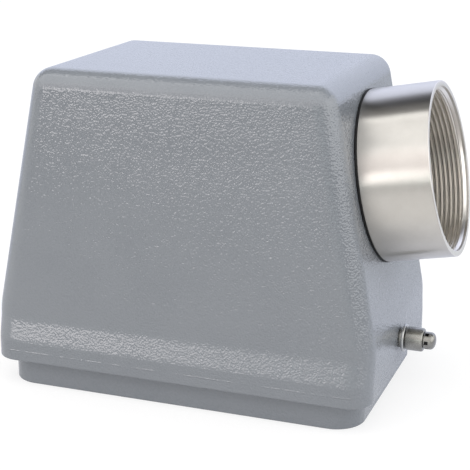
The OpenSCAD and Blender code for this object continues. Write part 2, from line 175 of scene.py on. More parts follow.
# Values worked out from the sizes
FLANGE_TOP = SKIRT_H + FLANGE_H
FLARE_TOP = FLANGE_TOP + FLARE_H
LEAN = (HOOD_L - TOP_L) / 2 / (HOOD_H - KNEE_Z)
TILT = math.atan(LEAN)
SKIRT_X = HOOD_L / 2 - SKIRT_END_STEP
SKIRT_Y = HOOD_W / 2 - SKIRT_SIDE_STEP
MOUTH_X = SKIRT_X - SKIRT_T
MOUTH_Y = SKIRT_Y - SKIRT_T
CORE_TOP = HOOD_H - WALL
CORE_KNEE_Z = KNEE_Z + (HOOD_L / 2 - WALL - MOUTH_X) / LEAN
ENTRY_Z = HOOD_H - ENTRY_DROP - SLEEVE_R
WALL_DEPTH = WALL * math.cos(TILT)
THREAD_R = MAJOR_R - ISO_DEPTH * THREAD_PITCH
THREAD_DEPTH = MAJOR_R - THREAD_R
CAP_BASE = COLLAR_L + WASHER_T + 2 * PLAY + ROLLER_L
RING_BORE_R = JOURNAL_R + ROLLER_FIT


def out_x(z):
    """Half length of the hood's outside at height z."""
    return HOOD_L / 2 - LEAN * max(0.0, z - KNEE_Z)


def out_y(z):
    """Half width of the hood's outside above the flare."""
    return HOOD_W / 2 - FLARE_D - SIDE_DRAFT * (z - FLARE_TOP)


def core_x(z):
    """Half length of the hollow at height z."""
    return min(MOUTH_X, out_x(z) - WALL)


def core_y(z):
    """Half width of the hollow at height z."""
    return MOUTH_Y - CORE_DRAFT * max(0.0, z - SEAT_Z)


def place_on_wall(x, z, angle):
    """A place on an end wall, in millimetres, with its Z axis turned from upright by the angle."""
    return Matrix.Translation((x * MM, 0, z * MM)) @ Matrix.Rotation(angle, 4, "Y")


def peg_place(side):
    """Where the peg on the left (-1) or right (1) end wall stands, with Z out of the wall."""
    return place_on_wall(side * HOOD_L / 2, PEG_Z, side * math.pi / 2)


ENTRY = place_on_wall(out_x(ENTRY_Z), ENTRY_Z, math.pi / 2 - TILT)


# Mesh helpers
def new_object(name, bm, crease=CREASE):
    """Turns a bmesh in metres into an object with smooth faces and creases over an angle in degrees."""
    bmesh.ops.recalc_face_normals(bm, faces=bm.faces)
    mesh = bpy.data.meshes.new(name)
    bm.to_mesh(mesh)
    bm.free()
    obj = bpy.data.objects.new(name, mesh)
    scene.collection.objects.link(obj)
    finish_shading(obj, crease)
    return obj


def finish_shading(obj, crease):
    """Smooth shading with creases over an angle in degrees."""
    obj.data.shade_smooth()
    obj.data.set_sharp_from_angle(angle=math.radians(crease))


def round_rect(hx, hy, r):
    """Points of a rectangle with round corners, counterclockwise."""
    points = []
    for k, (sx, sy) in enumerate(((1, 1), (-1, 1), (-1, -1), (1, -1))):
        for i in range(CORNER_STEPS + 1):
            a = math.pi / 2 * (k + i / CORNER_STEPS)
            points.append((sx * (hx - r) + r * math.cos(a), sy * (hy - r) + r * math.sin(a)))
    return points


def add_ring(bm, points, z):
    """Vertices over plan points at height z, all in millimetres."""
    return [bm.verts.new((x * MM, y * MM, z * MM)) for x, y in points]


def join_rings(bm, rows):
    """Walls between rings of vertices, with the first and the last ring closed."""
    for low, high in zip(rows, rows[1:]):
        for i in range(len(low)):
            j = (i + 1) % len(low)
            bm.faces.new((low[i], low[j], high[j], high[i]))
    bm.faces.new(rows[0][::-1])
    bm.faces.new(rows[-1])


def loft(bm, rings):
    """Body over rings of (z, half length, half width, corner radius), in millimetres."""
    join_rings(bm, [add_ring(bm, round_rect(hx, hy, r), z) for z, hx, hy, r in rings])


def prism(bm, points, z0, z1):
    """Upright prism over points in millimetres."""
    join_rings(bm, [add_ring(bm, points, z) for z in (z0, z1)])


def disc(r, x, y):
    """Points of a screw hole's circle round x, y."""
    angles = (2 * math.pi * i / HOLE_STEPS for i in range(HOLE_STEPS))
    return [(x + r * math.cos(a), y + r * math.sin(a)) for a in angles]


def turn(bm, profile, steps, place=None, closed=True):
    """Turns a profile of (radius, height) points, in millimetres, about Z and puts it at a place.

    A closed profile makes a ring. An open one starts and ends on the axis and makes a solid.
    """
    rows = []
    for k in range(steps):
        a = 2 * math.pi * k / steps
        c, s = math.cos(a), math.sin(a)
        rows.append([bm.verts.new((r * c * MM, r * s * MM, h * MM)) for r, h in profile])
    count = len(profile)
    for k in range(steps):
        row, after = rows[k], rows[(k + 1) % steps]
        for i in range(count if closed else count - 1):
            j = (i + 1) % count
            bm.faces.new((row[i], after[i], after[j], row[j]))
    made = [v for row in rows for v in row]
    if place:
        bmesh.ops.transform(bm, matrix=place, verts=made)
    if not closed:
        merge_doubles(bm, made)


def merge_doubles(bm, verts):
    """Joins vertices that lie at one point."""
    bmesh.ops.remove_doubles(bm, verts=verts, dist=1e-7)


def rounded(profile, radii, steps):
    """Rounds each corner of a closed profile by its own radius, within 0.45 of each edge beside it."""
    out = []
    count = len(profile)
    for i, point in enumerate(profile):
        here = Vector(point)
        into = Vector(profile[i - 1]) - here
        away = Vector(profile[(i + 1) % count]) - here
        r = min(radii[i], 0.45 * into.length, 0.45 * away.length)
        if r == 0:
            out.append(tuple(here))
            continue
        start, end = here + into.normalized() * r, here + away.normalized() * r
        for k in range(steps + 1):
            t = k / steps
            out.append(tuple(start * (1 - t) ** 2 + here * 2 * t * (1 - t) + end * t * t))
    return out


def cut(target, tool):
    """Cuts tool out of target and removes the tool."""
    mod = target.modifiers.new("cut", "BOOLEAN")
    mod.operation = "DIFFERENCE"
    mod.solver = "EXACT"
    mod.object = tool
    graph = bpy.context.evaluated_depsgraph_get()
    made = bpy.data.meshes.new_from_object(target.evaluated_get(graph))
    target.modifiers.remove(mod)
    target.data = made
    bpy.data.objects.remove(tool)


# The hood
def quarter_turn(steps):
    """(1 - cos, 1 - sin) at even steps of a quarter turn."""
    for i in range(steps + 1):
        a = math.pi / 2 * i / steps
        yield 1 - math.cos(a), 1 - math.sin(a)


def flare_rings():
    """Rings of the flare: a straight slope, then a bend into the drafted wall."""
    straight = FLARE_KNEE * FLARE_H
    bend = (1 - FLARE_KNEE) * FLARE_H
    slope = (FLARE_D - SIDE_DRAFT * bend / 2) / (straight + bend / 2)
    rings = []
    for i in range(FLARE_STEPS + 1):
        h = FLARE_H * i / FLARE_STEPS
        past = max(0.0, h - straight)
        depth = slope * h - (slope - SIDE_DRAFT) * past * past / (2 * bend)
        crease = CREASE_D if i == 0 else 0.0
        rings.append((FLANGE_TOP + h, HOOD_L / 2, HOOD_W / 2 - depth - crease, CORNER_R))
    return rings


def knee_rings():
    """Rings of the round knee above the flare, where the end walls begin to lean."""
    start = KNEE_Z - KNEE_R * math.tan(TILT / 2)
    rings = []
    for i in range(1, KNEE_STEPS + 1):
        a = TILT * i / KNEE_STEPS
        z = start + KNEE_R * math.sin(a)
        if z > FLARE_TOP + RING_GAP:
            rings.append((z, HOOD_L / 2 - KNEE_R * (1 - math.cos(a)), out_y(z), CORNER_R))
    return rings


def top_rings(ball_z, half_x, half_y, r, side_angle, steps):
    """Rings of an upper edge rounded with balls of radius r whose centres lie at ball_z."""
    ball_x = half_x(ball_z) - r / math.cos(TILT)
    ball_y = half_y(ball_z) - r / math.cos(side_angle)
    rings = []
    for i in range(steps + 1):
        share = i / steps
        ax = TILT + (math.pi / 2 - TILT) * share
        ay = side_angle + (math.pi / 2 - side_angle) * share
        mid = (ax + ay) / 2
        plan = max(r * math.cos(mid), LEAST_PLAN_R)
        half_l, half_w = ball_x + r * math.cos(ax), ball_y + r * math.cos(ay)
        rings.append((ball_z + r * math.sin(mid), half_l, half_w, plan))
    return rings


def hood_rings():
    """Rings of the hood's outside from the rim to the flat of the top."""
    half_l, half_w = HOOD_L / 2, HOOD_W / 2
    rings = []
    for rise, shrink in quarter_turn(EDGE_STEPS):
        back = EDGE_R * shrink
        rings.append((EDGE_R * rise, SKIRT_X - back, SKIRT_Y - back, SKIRT_R - back))
    for rise, shrink in quarter_turn(ROOT_STEPS):
        out = SKIRT_ROOT_R * rise
        rings.append((SKIRT_H - SKIRT_ROOT_R * shrink, SKIRT_X + out, SKIRT_Y + out, SKIRT_R + out))
    for rise, shrink in quarter_turn(EDGE_STEPS):
        back = EDGE_R * shrink
        rings.append((SKIRT_H + EDGE_R * rise, half_l - back, half_w - back, CORNER_R - back))
    rings.append((FLANGE_TOP - CREASE_H, half_l, half_w, CORNER_R))
    top = top_rings(HOOD_H - TOP_FILLET, out_x, out_y, TOP_FILLET, math.atan(SIDE_DRAFT), TOP_STEPS)
    return rings + flare_rings() + knee_rings() + top


def core_rings():
    """Rings of the hood's hollow, from below the rim to its roof."""
    rings = [(-OVERCUT, MOUTH_X + MOUTH_EDGE, MOUTH_Y + MOUTH_EDGE, MOUTH_R + MOUTH_EDGE)]
    for rise, shrink in quarter_turn(EDGE_STEPS):
        out = MOUTH_EDGE * shrink
        rings.append((MOUTH_EDGE * rise, MOUTH_X + out, MOUTH_Y + out, MOUTH_R + out))
    rings.append((SEAT_Z, MOUTH_X, MOUTH_Y, MOUTH_R))
    rings.append((CORE_KNEE_Z, MOUTH_X, core_y(CORE_KNEE_Z), MOUTH_R))
    top = top_rings(CORE_TOP - CORE_R, core_x, core_y, CORE_R, math.atan(CORE_DRAFT), CORE_TOP_STEPS)
    return rings + top


def boss_outline(sx, x, y):
    """Plan of one fixing boss: round towards the insert, square where it runs into the end wall."""
    r = BOSS_W / 2
    wall = MOUTH_X + BOSS_RUN
    angles = (math.radians(90 + 180 * i / BOSS_STEPS) for i in range(BOSS_STEPS + 1))
    points = [(x + sx * r * math.cos(a), y + r * math.sin(a)) for a in angles]
    points += [(sx * wall, y - r), (sx * wall, y + r)]
    return points if sx > 0 else points[::-1]


def fixing_points():
    """(side, x, y) of the eight fixing screws."""
    for row in (-1, 1):
        for sx in (-1, 1):
            for sy in (-1, 1):
                yield sx, sx * FIX_L / 2, row * INSERT_Y + sy * FIX_W / 2


def make_hood():
    """The die-cast hood as one mesh with its hollow, bosses and holes."""
    bm = bmesh.new()
    loft(bm, hood_rings())
    hood = new_object("hood", bm)
    bm = bmesh.new()
    loft(bm, core_rings())
    hollow = new_object("hollow", bm)
    for i, (sx, x, y) in enumerate(fixing_points()):
        bm = bmesh.new()
        prism(bm, boss_outline(sx, x, y), SEAT_Z, SEAT_Z + BOSS_H)
        cut(hollow, new_object(f"boss_{i}", bm))
    cut(hood, hollow)
    bm = bmesh.new()
    for _, x, y in fixing_points():
        prism(bm, disc(FIX_R, x, y), SEAT_Z - OVERCUT, SEAT_Z + FIX_DEPTH + OVERCUT)
    shank = [(0, -PEG_SEAT), (SHANK_R, -PEG_SEAT), (SHANK_R, OVERCUT), (0, OVERCUT)]
    for side in (-1, 1):
        turn(bm, shank, HOLE_STEPS, peg_place(side), closed=False)
    neck = [(0, -NECK_CUT), (NECK_R, -NECK_CUT), (NECK_R, WALL), (0, WALL)]
    turn(bm, neck, NECK_STEPS, ENTRY, closed=False)
    cut(hood, new_object("holes", bm))
    finish_shading(hood, HOOD_CREASE)
    weighted = hood.modifiers.new("weighted", "WEIGHTED_NORMAL")
    weighted.keep_sharp = True
    return hood


# The cable entry, and its thread's form as (share of the pitch, share of the depth)
THREAD_FORM = [
    (0.0, 0.0),
    (0.08, 0.0),
    (0.17, 0.0),
    (0.25, 0.04),
    (0.35, 0.3),
    (0.47, 0.7),
    (0.56, 0.95),
    (0.625, 1.0),
    (0.69, 0.95),
    (0.78, 0.7),
    (0.9, 0.3),
]


def thread_point(row, share):
    """(radius, depth below the thread's start) of a row of the helix at a share of a full turn."""
    turns, phase = divmod(row, len(THREAD_FORM))
    along, rise = THREAD_FORM[phase]
    h = (turns - 1 + along + share) * THREAD_PITCH
    h = min(max(h, 0.0), THREAD_L)
    lead = min(1.0, h / (LEAD_IN * THREAD_PITCH), (THREAD_L - h) / (RUN_OUT * THREAD_PITCH))
    return THREAD_R + THREAD_DEPTH * rise * max(0.0, lead), h


def sleeve_outline(thread_top):
    """Turned outline of the sleeve from the thread's foot to its start, past the neck and the mouth."""
    plain = THREAD_R - BORE_STEP
    lip = NECK_R + LIP_H
    back = -WALL_DEPTH - LIP_H
    outline = [
        (THREAD_R, thread_top - THREAD_L),
        (plain, thread_top - THREAD_L - BORE_STEP),
        (plain, back),
        (lip, back),
        (lip, -WALL_DEPTH),
        (NECK_R - NECK_FIT, -WALL_DEPTH),
        (NECK_R - NECK_FIT, SEAL_T),
        (SLEEVE_R, SEAL_T),
        (SLEEVE_R, SLEEVE_L),
        (MAJOR_R, SLEEVE_L),
        (MAJOR_R, SLEEVE_L - MOUTH_DEPTH),
        (THREAD_R, thread_top),
    ]
    return rounded(outline, [0, 0, 0.1, 0.25, 0.1, 0, 0, 0.25, 0.3, 0.1, 0.1, 0], SLEEVE_EDGE_STEPS)


def make_sleeve():
    """Turned sleeve with its neck, counterbored mouth and a helical internal thread.

    The thread and the faces that look along the axis take the second material, a lighter copy of the
    plate: painted light.
    """
    thread_top = SLEEVE_L - MOUTH_DEPTH - THREAD_DEPTH
    outline = sleeve_outline(thread_top)
    rows = (math.ceil(THREAD_L / THREAD_PITCH) + 1) * len(THREAD_FORM)
    bm = bmesh.new()
    shell, helix = [], []
    for k in range(SLEEVE_STEPS + 1):
        share = k / SLEEVE_STEPS
        c, s = math.cos(2 * math.pi * share), math.sin(2 * math.pi * share)
        thread = (thread_point(i, share) for i in range(rows + 1))
        shell.append([bm.verts.new((r * c * MM, r * s * MM, h * MM)) for r, h in outline])
        helix.append([bm.verts.new((r * c * MM, r * s * MM, (thread_top - h) * MM)) for r, h in thread])
    for row, after in zip(shell, shell[1:]):
        for i in range(len(outline) - 1):
            bm.faces.new((row[i], after[i], after[i + 1], row[i + 1]))
    for row, after in zip(helix, helix[1:]):
        for i in range(rows):
            face = bm.faces.new((row[i], row[i + 1], after[i + 1], after[i]))
            face.material_index = 1
    merge_doubles(bm, bm.verts)
    bm.normal_update()
    # Faces that look along the axis, the rim among them, take the lighter copy too: painted light
    for face in bm.faces:
        if abs(face.normal.z) > 0.6:
            face.material_index = 1
    bmesh.ops.transform(bm, matrix=ENTRY, verts=bm.verts)
    return new_object("entry_sleeve", bm, SLEEVE_CREASE)


def make_ring(name, place, r_in, r_out, z0, z1, radii, edge_steps, steps):
    """Turned ring with rounded edges; the radii go round from the inner edge at z0."""
    profile = [(r_in, z0), (r_out, z0), (r_out, z1), (r_in, z1)]
    bm = bmesh.new()
    turn(bm, rounded(profile, radii, edge_steps), steps, place)
    return new_object(name, bm)


def make_seal():
    """Black ring between the sleeve and the wall, a little proud of both."""
    r_in, r_out = NECK_R + NECK_FIT, SLEEVE_R + SEAL_PROUD
    radii = [0, 0.3, 0.3, 0]
    return make_ring("seal_ring", ENTRY, r_in, r_out, 0, SEAL_T, radii, SEAL_EDGE_STEPS, SEAL_STEPS)


# The locking pegs
def make_peg_ring(side, name, r_out, z0, length, radii):
    """A ring over the peg's journal."""
    place, z1 = peg_place(side), z0 + length
    return make_ring(name, place, RING_BORE_R, r_out, z0, z1, radii, PEG_EDGE_STEPS, PEG_STEPS)


def make_washer(side, name):
    """Flat washer that lies on the collar."""
    return make_peg_ring(side, name, WASHER_R, COLLAR_L, WASHER_T, [0.05, 0.3, 0.3, 0.05])


def make_roller(side, name):
    """Roller on the journal, with play at both ends."""
    z0 = COLLAR_L + WASHER_T + PLAY
    return make_peg_ring(side, name, ROLLER_R, z0, ROLLER_L, [0.1, 0.4, 0.9, 0.1])


def cut_slots(cap, name):
    """Cuts the slots between the claws at the cap's open end."""
    bm = bmesh.new()
    out, up = CAP_R - SLOT_DEPTH + OVERCUT / 2, CAP_BASE + (SLOT_L - OVERCUT) / 2
    for i in range(CAP_CLAWS):
        spin = Matrix.Rotation(2 * math.pi * (i + 0.5) / CAP_CLAWS, 4, "Z")
        box = bmesh.ops.create_cube(bm, size=1.0)["verts"]
        middle = Vector((out * MM, 0, up * MM))
        size = Matrix.Diagonal((OVERCUT * MM, SLOT_W * MM, (SLOT_L + OVERCUT) * MM, 1.0))
        bmesh.ops.transform(bm, matrix=spin @ Matrix.Translation(middle) @ size, verts=box)
    cut(cap, new_object(name, bm))


def in_slot(face):
    """Whether a face of the cap is a floor or a side of a slot, where the shadow is painted."""
    middle = face.center / MM
    low = middle.z < CAP_BASE + SLOT_L + NEAR_FACE
    inside = JOURNAL_R + CAP_FIT + NEAR_BORE < middle.xy.length < CAP_R - NEAR_FACE
    return low and inside and abs(face.normal.z) < 0.9


def make_cap(side, name):
    """Clawed cap over the pin's end: a short cup with slots at its open end and a domed end."""
    r_in = JOURNAL_R + CAP_FIT
    bore_end = CAP_BASE + CAP_BORE
    end = CAP_BASE + CAP_L
    profile = [(0, bore_end), (r_in, bore_end), (r_in, CAP_BASE), (CAP_R, CAP_BASE)]
    profile.append((CAP_R, end - CAP_DOME))
    for i in range(1, DOME_STEPS):
        a = math.pi / 2 * i / DOME_STEPS
        profile.append((CAP_R * math.cos(a) ** CAP_DOME_POWER, end - CAP_DOME * (1 - math.sin(a))))
    profile.append((0, end))
    bm = bmesh.new()
    turn(bm, profile, PEG_STEPS, closed=False)
    cap = new_object(name, bm, CAP_CREASE)
    cut_slots(cap, name + "_slots")
    # The slots' floors and sides take near-black steel: painted shadow for the dark inside the slots
    for face in cap.data.polygons:
        if in_slot(face):
            face.material_index = 1
    cap.data.transform(peg_place(side))
    bevel = cap.modifiers.new("edge", "BEVEL")
    bevel.width = CAP_BEVEL * MM
    bevel.segments = 2
    bevel.limit_method = "ANGLE"
    bevel.angle_limit = math.radians(45)
    finish_shading(cap, CAP_CREASE)
    return cap


def make_pin(side, name):
    """Peg pin with its shank in the wall, its collar and the journal that carries the roller."""
    z_end = CAP_BASE + CAP_BORE
    outline = [(0, -PEG_SEAT), (SHANK_R, -PEG_SEAT), (SHANK_R, 0), (COLLAR_R, 0), (COLLAR_R, COLLAR_L)]
    outline += [(JOURNAL_R, COLLAR_L), (JOURNAL_R, z_end), (0, z_end)]
    radii = [0, 0.3, 0, 0.15, 0.15, 0, 0.3, 0]
    bm = bmesh.new()
    turn(bm, rounded(outline, radii, PIN_EDGE_STEPS), PIN_STEPS, peg_place(side), closed=False)
    return new_object(name, bm)


# Node helpers
def feed(tree, sockets, inputs):
    """Sets sockets, by name or number, to plain values or links outputs to them."""
    for key, value in inputs.items():
        if isinstance(value, bpy.types.NodeSocket):
            tree.links.new(value, sockets[key])
        else:
            sockets[key].default_value = value


def node(tree, kind, inputs, **properties):
    """Adds a node, sets its properties and feeds its sockets."""
    made = tree.nodes.new(kind)
    for key, value in properties.items():
        setattr(made, key, value)
    feed(tree, made.inputs, inputs)
    return made


def maths(tree, operation, *values):
    """Result of one operation on plain values or outputs."""
    return node(tree, "ShaderNodeMath", dict(enumerate(values)), operation=operation).outputs[0]


def coordinates(tree):
    """The object's own coordinates, in metres."""
    return node(tree, "ShaderNodeTexCoord", {}).outputs["Object"]


def along(tree, where, axis):
    """The coordinate along one axis."""
    return node(tree, "ShaderNodeSeparateXYZ", {0: where}).outputs[axis]


def noise(tree, where, scale, detail, roughness):
    """Noise texture with its features about 1 / scale metres wide."""
    inputs = {"Vector": where, "Scale": scale, "Detail": detail, "Roughness": roughness}
    return node(tree, "ShaderNodeTexNoise", inputs).outputs["Fac"]


def ramp(tree, value, *stops):
    """Colour ramp through stops of (place, colour)."""
    made = node(tree, "ShaderNodeValToRGB", {"Fac": value})
    marks = made.color_ramp.elements
    while len(marks) < len(stops):
        marks.new(0.5)
    for mark, (place, colour) in zip(marks, stops):
        mark.position = place
        mark.color = (*colour, 1)
    return made.outputs["Color"]


def remap(tree, value, x0, y0, x1, y1):
    """Goes evenly from y0 at x0 to y1 at x1 and stays level past both."""
    inputs = {"Value": value, "From Min": x0, "To Min": y0, "From Max": x1, "To Max": y1}
    return node(tree, "ShaderNodeMapRange", inputs).outputs["Result"]


def spread(tree, value, low, high):
    """Maps 0..1 to low..high."""
    return remap(tree, value, 0.0, low, 1.0, high)


def bump(tree, height, distance, after=None):
    """Relief of a height of 0 to 1 times the distance in metres, on top of the relief before it."""
    inputs = {"Strength": 1.0, "Distance": distance, "Height": height}
    if after:
        inputs["Normal"] = after
    return node(tree, "ShaderNodeBump", inputs).outputs["Normal"]


def new_material(name):
    """A material, its node tree and the object coordinates in it."""
    mat = bpy.data.materials.new(name)
    mat.use_nodes = True
    return mat, mat.node_tree, coordinates(mat.node_tree)


def set_shader(tree, inputs):
    """Feeds the material's own shader."""
    feed(tree, tree.nodes["Principled BSDF"].inputs, inputs)


# Materials; scales are in features for each metre, heights in metres
BLACK = (0, 0, 0)
WHITE = (1, 1, 1)
PAINT_TONES = (0.238, 0.258, 0.284), (0.254, 0.274, 0.300)
NICKEL_TONES = (0.60, 0.575, 0.535), (0.64, 0.615, 0.575)
RUBBER_TONES = (0.006, 0.006, 0.006), (0.012, 0.012, 0.012)
PLASTIC_TONES = (0.215, 0.222, 0.226), (0.235, 0.242, 0.246)
PEEL_HEIGHT = 0.0001
SWELL_HEIGHT = 0.00005
FINE_HEIGHT = 0.000004
PARTING_HEIGHT = 0.00012
METAL_GRAIN = 0.000008
MOULDED_GRAIN = 0.00002
# (x, factor, x, factor), from the left end to the right end, with x in metres
PEEL_GROWTH = (-0.055, 0.6, 0.055, 1.35)


def parting_line(tree, where):
    """Height of the broken ridge that the casting die left round the flange."""
    low, high = (PARTING_Z - PARTING_W) * MM, (PARTING_Z + PARTING_W) * MM
    across = remap(tree, along(tree, where, "Z"), low, 0.0, high, 1.0)
    ridge = ramp(tree, across, (0.0, BLACK), (0.5, WHITE), (1.0, BLACK))
    gaps = ramp(tree, noise(tree, where, 130, 2.0, 0.6), (0.42, BLACK), (0.6, WHITE))
    return maths(tree, "MULTIPLY", ridge, gaps)


def paint_material():
    """Light grey powder coat with an orange peel, taller towards the right end as in the photo."""
    mat, tree, where = new_material("grey_powder_coat")
    swell = noise(tree, where, 750, 0.0, 0.5)
    peel = noise(tree, where, 1800, 0.0, 0.5)
    fine = noise(tree, where, 2600, 1.0, 0.5)
    waves = noise(tree, where, 60, 1.0, 0.5)
    patches = maths(tree, "MULTIPLY_ADD", peel, 0.8, waves)
    dark, light = PAINT_TONES
    growth = remap(tree, along(tree, where, "X"), *PEEL_GROWTH)
    relief = bump(tree, swell, SWELL_HEIGHT)
    relief = bump(tree, maths(tree, "MULTIPLY", peel, growth), PEEL_HEIGHT, relief)
    relief = bump(tree, fine, FINE_HEIGHT, relief)
    relief = bump(tree, parting_line(tree, where), PARTING_HEIGHT, relief)
    set_shader(tree, {
        "Base Color": ramp(tree, patches, (0.6, dark), (1.0, light)),
        "Specular IOR Level": 1.0,
        "Roughness": spread(tree, fine, 0.06, 0.1),
        "Normal": relief,
    })
    return mat


def nickel_material(name, rough, painted_light_gain=1.0, smear=None):
    """Satin nickel plate; turned surfaces smear reflections along the given axis."""
    mat, tree, where = new_material(name)
    cloud = noise(tree, where, 220, 3.0, 0.6)
    grain = noise(tree, where, 3000, 2.0, 0.6)
    # A gain above 1 paints light into the tones and makes a lighter copy of the plate
    dark, light = ([c * painted_light_gain for c in tone] for tone in NICKEL_TONES)
    set_shader(tree, {
        "Base Color": ramp(tree, cloud, (0.3, dark), (0.75, light)),
        "Metallic": 1.0,
        "Roughness": spread(tree, grain, rough - 0.02, rough + 0.02),
        "Normal": bump(tree, grain, FINE_HEIGHT),
    })
    if smear:
        axis = node(tree, "ShaderNodeCombineXYZ", dict(enumerate(smear)))
        set_shader(tree, {"Anisotropic": 0.9, "Tangent": axis.outputs["Vector"]})
    return mat


def steel_material(name, dark, light, rough_low, rough_high):
    """Plain metal with small tone changes and fine marks."""
    mat, tree, where = new_material(name)
    cloud = noise(tree, where, 500, 3.0, 0.6)
    grain = noise(tree, where, 4000, 2.0, 0.6)
    set_shader(tree, {
        "Base Color": ramp(tree, cloud, (0.3, dark), (0.7, light)),
        "Metallic": 1.0,
        "Roughness": spread(tree, grain, rough_low, rough_high),
        "Normal": bump(tree, grain, METAL_GRAIN),
    })
    return mat


def rubber_material():
    """Dull black rubber."""
    mat, tree, where = new_material("black_rubber")
    grain = noise(tree, where, 2500, 2.0, 0.6)
    dark, light = RUBBER_TONES
    set_shader(tree, {
        "Base Color": ramp(tree, grain, (0.3, dark), (0.7, light)),
        "Specular IOR Level": 0.25,
        "Roughness": spread(tree, grain, 0.5, 0.65),
        "Normal": bump(tree, grain, MOULDED_GRAIN),
    })
    return mat


def plastic_material():
    """Grey moulded plastic with a fine eroded grain."""
    mat, tree, where = new_material("grey_moulding")
    grain = noise(tree, where, 3500, 2.0, 0.6)
    cloud = noise(tree, where, 90, 2.0, 0.5)
    dark, light = PLASTIC_TONES
    set_shader(tree, {
        "Base Color": ramp(tree, cloud, (0.3, dark), (0.7, light)),
        "Roughness": spread(tree, grain, 0.45, 0.58),
        "Normal": bump(tree, grain, MOULDED_GRAIN),
    })
    return mat


# The camera's place in millimetres, its angles in degrees and its focal length, fitted to the photo
CAMERA_AT = (145.451, -383.942, 167.446)
CAMERA_YAW = 19.943
CAMERA_PITCH = 16.628
CAMERA_ROLL = 0.275
FOCAL_PIXELS = 1311.95
PHOTO_PIXELS = 470
SENSOR_W = 36.0
CAMERA_NEAR = 0.01
CAMERA_FAR = 20.0


def make_camera():
    """The photograph's camera."""
    yaw, pitch, roll = (math.radians(v) for v in (CAMERA_YAW, CAMERA_PITCH, CAMERA_ROLL))
    right = Vector((math.cos(yaw), math.sin(yaw), 0))
    ahead = Vector((-math.sin(yaw) * math.cos(pitch), math.cos(yaw) * math.cos(pitch), -math.sin(pitch)))
    up = right.cross(ahead)
    x_axis = right * math.cos(roll) + up * math.sin(roll)
    y_axis = up * math.cos(roll) - right * math.sin(roll)
    camera = bpy.data.cameras.new("camera")
    camera.sensor_width = SENSOR_W
    camera.lens = FOCAL_PIXELS / PHOTO_PIXELS * SENSOR_W
    camera.clip_start = CAMERA_NEAR
    camera.clip_end = CAMERA_FAR
    obj = bpy.data.objects.new("camera", camera)
    turned = Matrix((x_axis, y_axis, -ahead)).transposed().to_4x4()
    obj.matrix_world = Matrix.Translation(Vector(CAMERA_AT) * MM) @ turned
    scene.collection.objects.link(obj)
    scene.camera = obj


# Tints of the light and of what reflections show
PLAIN = (1.0, 1.0, 1.0)
WARM = (1.03, 0.985, 0.985)
COOL = (0.97, 1.02, 1.01)
GREEN = (0.94, 1.04, 1.02)
PALE_BLUE = (0.94, 0.99, 1.07)
BLUE = (0.89, 0.95, 1.16)

# The object's light; a brightness is a radiance, and 1 is white
WORLD_LIGHT = (0.85, 0.85, 0.85)
LAMP_TARGET = (0, 0, 0.05)
LAMPS = [
    ("soft_top", (-0.1, -0.5, 1.15), (1.8, 1.0), 1.05, WARM),
    ("soft_side", (1.2, 0.5, 0.5), (1.0, 1.0), 1.2, PALE_BLUE),
    ("soft_behind", (0.0, 1.3, 0.7), (2.0, 1.0), 0.25, PALE_BLUE),
]

# The floor: what lights the object, and what the camera sees, which adds up to white outside the shadow
FLOOR_R = 4.0
FLOOR_LIT = 0.55
FLOOR_SHADED = 0.3
FLOOR_WHITE = 0.74

# The room of panels that reflections show, in metres
LEFT_X = -2.5
RIGHT_X = 1.3
FRONT_Y = -1.2
BACK_Y = 1.6
CEILING_Z = 1.2
SPLIT_Z = 0.3
CARD_Z = 0.003
# The brightness that a colour of 1 in a panel's ramp stands for
GLOW_TOP = 3.0


def soft_lamp(name, place, size, brightness, tint):
    """A soft box that lights the object and that reflections don't show."""
    light = bpy.data.lights.new(name, "AREA")
    light.shape = "RECTANGLE"
    light.size, light.size_y = size
    light.energy = brightness * max(tint) * math.pi * size[0] * size[1]
    light.color = [value / max(tint) for value in tint]
    obj = bpy.data.objects.new(name, light)
    obj.location = place
    obj.rotation_euler = (Vector(LAMP_TARGET) - Vector(place)).to_track_quat("-Z", "Y").to_euler()
    obj.visible_glossy = False
    obj.visible_camera = False
    scene.collection.objects.link(obj)


def mixed(tree, share, first, second):
    """A shader that goes from the first to the second as the share goes from 0 to 1."""
    return node(tree, "ShaderNodeMixShader", {0: share, 1: first, 2: second}).outputs[0]


def added(tree, first, second):
    """Both shaders at once."""
    return node(tree, "ShaderNodeAddShader", {0: first, 1: second}).outputs[0]


def make_world():
    """White to the camera and in reflections, and a soft even light on the object."""
    world = bpy.data.worlds.new("studio")
    world.use_nodes = True
    scene.world = world
    tree = world.node_tree
    back = tree.nodes["Background"]
    feed(tree, back.inputs, {"Color": (*WORLD_LIGHT, 1)})
    white = node(tree, "ShaderNodeBackground", {"Color": (*WHITE, 1), "Strength": 1.0})
    path = node(tree, "ShaderNodeLightPath", {}).outputs
    rays = maths(tree, "MAXIMUM", path["Is Camera Ray"], path["Is Glossy Ray"])
    rays = maths(tree, "MAXIMUM", rays, path["Is Transmission Ray"])
    seen = mixed(tree, rays, back.outputs[0], white.outputs[0])
    feed(tree, tree.nodes["World Output"].inputs, {"Surface": seen})


def glow(tree, axis, stops, fade=None):
    """Emission that changes along one axis of the object; stops are (metres, brightness, tint).

    fade, (x, factor, x, factor), also changes its strength along X.
    """
    where = coordinates(tree)
    start, end = stops[0][0], stops[-1][0]
    share = remap(tree, along(tree, where, axis), start, 0.0, end, 1.0)
    marks = []
    for place, brightness, tint in stops:
        marks.append(((place - start) / (end - start), [brightness * c / GLOW_TOP for c in tint]))
    strength = GLOW_TOP
    if fade:
        x0, factor0, x1, factor1 = fade
        strength = remap(tree, along(tree, where, "X"), x0, factor0 * GLOW_TOP, x1, factor1 * GLOW_TOP)
    inputs = {"Color": ramp(tree, share, *marks), "Strength": strength}
    return node(tree, "ShaderNodeEmission", inputs).outputs[0]


